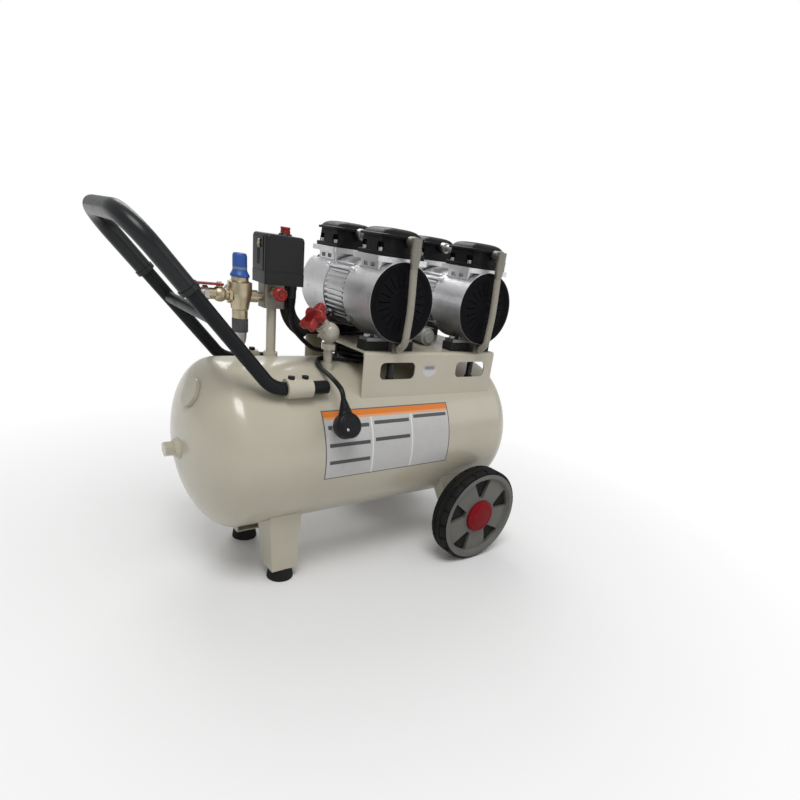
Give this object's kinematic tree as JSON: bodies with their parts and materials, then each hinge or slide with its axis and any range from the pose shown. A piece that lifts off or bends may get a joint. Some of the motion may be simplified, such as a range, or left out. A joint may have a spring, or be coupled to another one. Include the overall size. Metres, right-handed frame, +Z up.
{
  "type": "air compressor",
  "caption": "Portable oil-free air compressor: paired motor pumps on a horizontal wheeled tank, with push handle, pressure switch, regulator and power cord.",
  "frame": {"origin": "on the floor under the middle of the outer box", "axes": "+X along the tank towards the wheels, +Z up, +Y towards the rear side"},
  "size_m": [0.7246, 0.388, 0.569],
  "materials": {
    "cream_paint": "gloss",
    "black_paint": "gloss",
    "grip_sleeve": "satin",
    "black_rubber": "matte",
    "tyre": "matte",
    "wheel_grey": "satin",
    "cap_red": "gloss",
    "steel": "satin",
    "cast_alloy": "satin",
    "head_black": "gloss",
    "cover_black": "matte",
    "motor_core": "satin",
    "capacitor_case": "satin",
    "hose_braid": "satin",
    "zinc": "satin",
    "switch_black": "satin",
    "knob_red": "satin",
    "brass": "satin",
    "knob_blue": "satin",
    "bowl": "gloss",
    "sleeve_black": "satin",
    "nickel": "satin",
    "cord_black": "satin"
  },
  "bodies": {
    "root": {"tank_shell": "cream_paint", "tank_fittings": "cream_paint", "drain_valve": "brass", "leg_brackets": "cream_paint", "wheel_brackets": "cream_paint", "rubber_feet": "black_rubber", "bolts": "steel", "axle_hardware": "steel", "handle_frame": "black_paint", "handle_grip": "grip_sleeve", "handle_sockets": "cream_paint", "saddle": "cream_paint", "motor_pads": "black_rubber", "crankcases": "cast_alloy", "motor_housings": "cast_alloy", "stators": "motor_core", "bearings": "steel", "cylinders": "cast_alloy", "heads": "head_black", "fan_covers": "cover_black", "transfer_tubes": "steel", "capacitors": "capacitor_case", "head_hoses": "hose_braid", "hose_fittings": "steel", "manifold": "zinc", "switch_base": "switch_black", "switch_cover": "switch_black", "relief_valve": "brass", "regulator_body": "brass", "filter_bowl": "bowl", "gauge_case": "steel", "outlet_valve": "brass", "coupler": "steel", "bleed_valve": "nickel", "motor_leads": "cord_black", "mains_cord": "cord_black", "cord_coil": "cord_black", "plug": "cord_black"},
    "front_wheel": {"tyre_front": "tyre", "rim_front": "wheel_grey", "hub_cap_front": "cap_red"},
    "rear_wheel": {"tyre_rear": "tyre", "rim_rear": "wheel_grey", "hub_cap_rear": "cap_red"},
    "shaft_a": {"rotor_a": "motor_core", "fans_a": "cover_black"},
    "rods_a": {"rods_a": "cast_alloy"},
    "pistons_a": {"pistons_a": "cast_alloy"},
    "shaft_b": {"rotor_b": "motor_core", "fans_b": "cover_black"},
    "rods_b": {"rods_b": "cast_alloy"},
    "pistons_b": {"pistons_b": "cast_alloy"},
    "switch_knob": {"switch_knob": "knob_red"},
    "relief_knob": {"relief_knob": "knob_red"},
    "regulator_knob": {"regulator_knob": "knob_blue"},
    "gauge_needle": {"gauge_needle": "knob_red"},
    "outlet_lever": {"outlet_lever": "knob_red"},
    "coupler_sleeve": {"coupler_sleeve": "sleeve_black"},
    "bleed_wheel": {"bleed_wheel": "knob_red"},
    "drain_knob": {"drain_knob": "brass"}
  },
  "joints": [
    {"name": "front_wheel_spin", "type": "hinge", "parent": "root", "child": "front_wheel", "pos_m": [0.21078, -0.17, 0.093], "axis": [0, 1, 0], "continuous": true},
    {"name": "rear_wheel_spin", "type": "hinge", "parent": "root", "child": "rear_wheel", "pos_m": [0.21078, 0.17, 0.093], "axis": [0, 1, 0], "continuous": true},
    {"name": "shaft_a_spin", "type": "hinge", "parent": "root", "child": "shaft_a", "pos_m": [0.02728, 0, 0.465], "axis": [0, 1, 0], "continuous": true},
    {"name": "rods_a_turn", "type": "hinge", "parent": "shaft_a", "child": "rods_a", "pos_m": [0.02728, 0, 0.4715], "axis": [0, 1, 0], "continuous": true},
    {"name": "pistons_a_stroke", "type": "slide", "parent": "root", "child": "pistons_a", "axis": [0, 0, 1], "range_m": [-0.013, 0]},
    {"name": "shaft_b_spin", "type": "hinge", "parent": "root", "child": "shaft_b", "pos_m": [0.20828, 0, 0.465], "axis": [0, 1, 0], "continuous": true},
    {"name": "rods_b_turn", "type": "hinge", "parent": "shaft_b", "child": "rods_b", "pos_m": [0.20828, 0, 0.4715], "axis": [0, 1, 0], "continuous": true},
    {"name": "pistons_b_stroke", "type": "slide", "parent": "root", "child": "pistons_b", "axis": [0, 0, 1], "range_m": [-0.013, 0]},
    {"name": "switch_press", "type": "slide", "parent": "root", "child": "switch_knob", "axis": [0, 0, 1], "range_m": [-0.005, 0]},
    {"name": "relief_pull", "type": "slide", "parent": "root", "child": "relief_knob", "axis": [0, -1, 0], "range_m": [0, 0.003], "stiffness_N_per_m": 400},
    {"name": "regulator_turn", "type": "hinge", "parent": "root", "child": "regulator_knob", "pos_m": [-0.17422, 0.027, 0.485], "axis": [0, 0, 1], "range_deg": [-720, 720]},
    {"name": "gauge_sweep", "type": "hinge", "parent": "root", "child": "gauge_needle", "pos_m": [-0.17422, 0.0576, 0.445], "axis": [0, -1, 0], "range_deg": [0, 270]},
    {"name": "outlet_turn", "type": "hinge", "parent": "root", "child": "outlet_lever", "pos_m": [-0.20472, 0.027, 0.457], "axis": [0, 0, 1], "range_deg": [0, 90]},
    {"name": "coupler_draw", "type": "slide", "parent": "root", "child": "coupler_sleeve", "axis": [1, 0, 0], "range_m": [0, 0.004], "stiffness_N_per_m": 400},
    {"name": "bleed_turn", "type": "hinge", "parent": "root", "child": "bleed_wheel", "pos_m": [-0.05722, -0.04, 0.406], "axis": [-0.7934, 0, 0.6088], "range_deg": [0, 720]},
    {"name": "drain_turn", "type": "hinge", "parent": "root", "child": "drain_knob", "pos_m": [-0.09922, 0, 0.057], "axis": [0, 0, 1], "range_deg": [0, 540]}
  ],
  "couplings": [
    {"joint": "rods_a_turn", "follows": "shaft_a_spin", "ratio": -1},
    {"joint": "rods_b_turn", "follows": "shaft_b_spin", "ratio": -1}
  ]
}
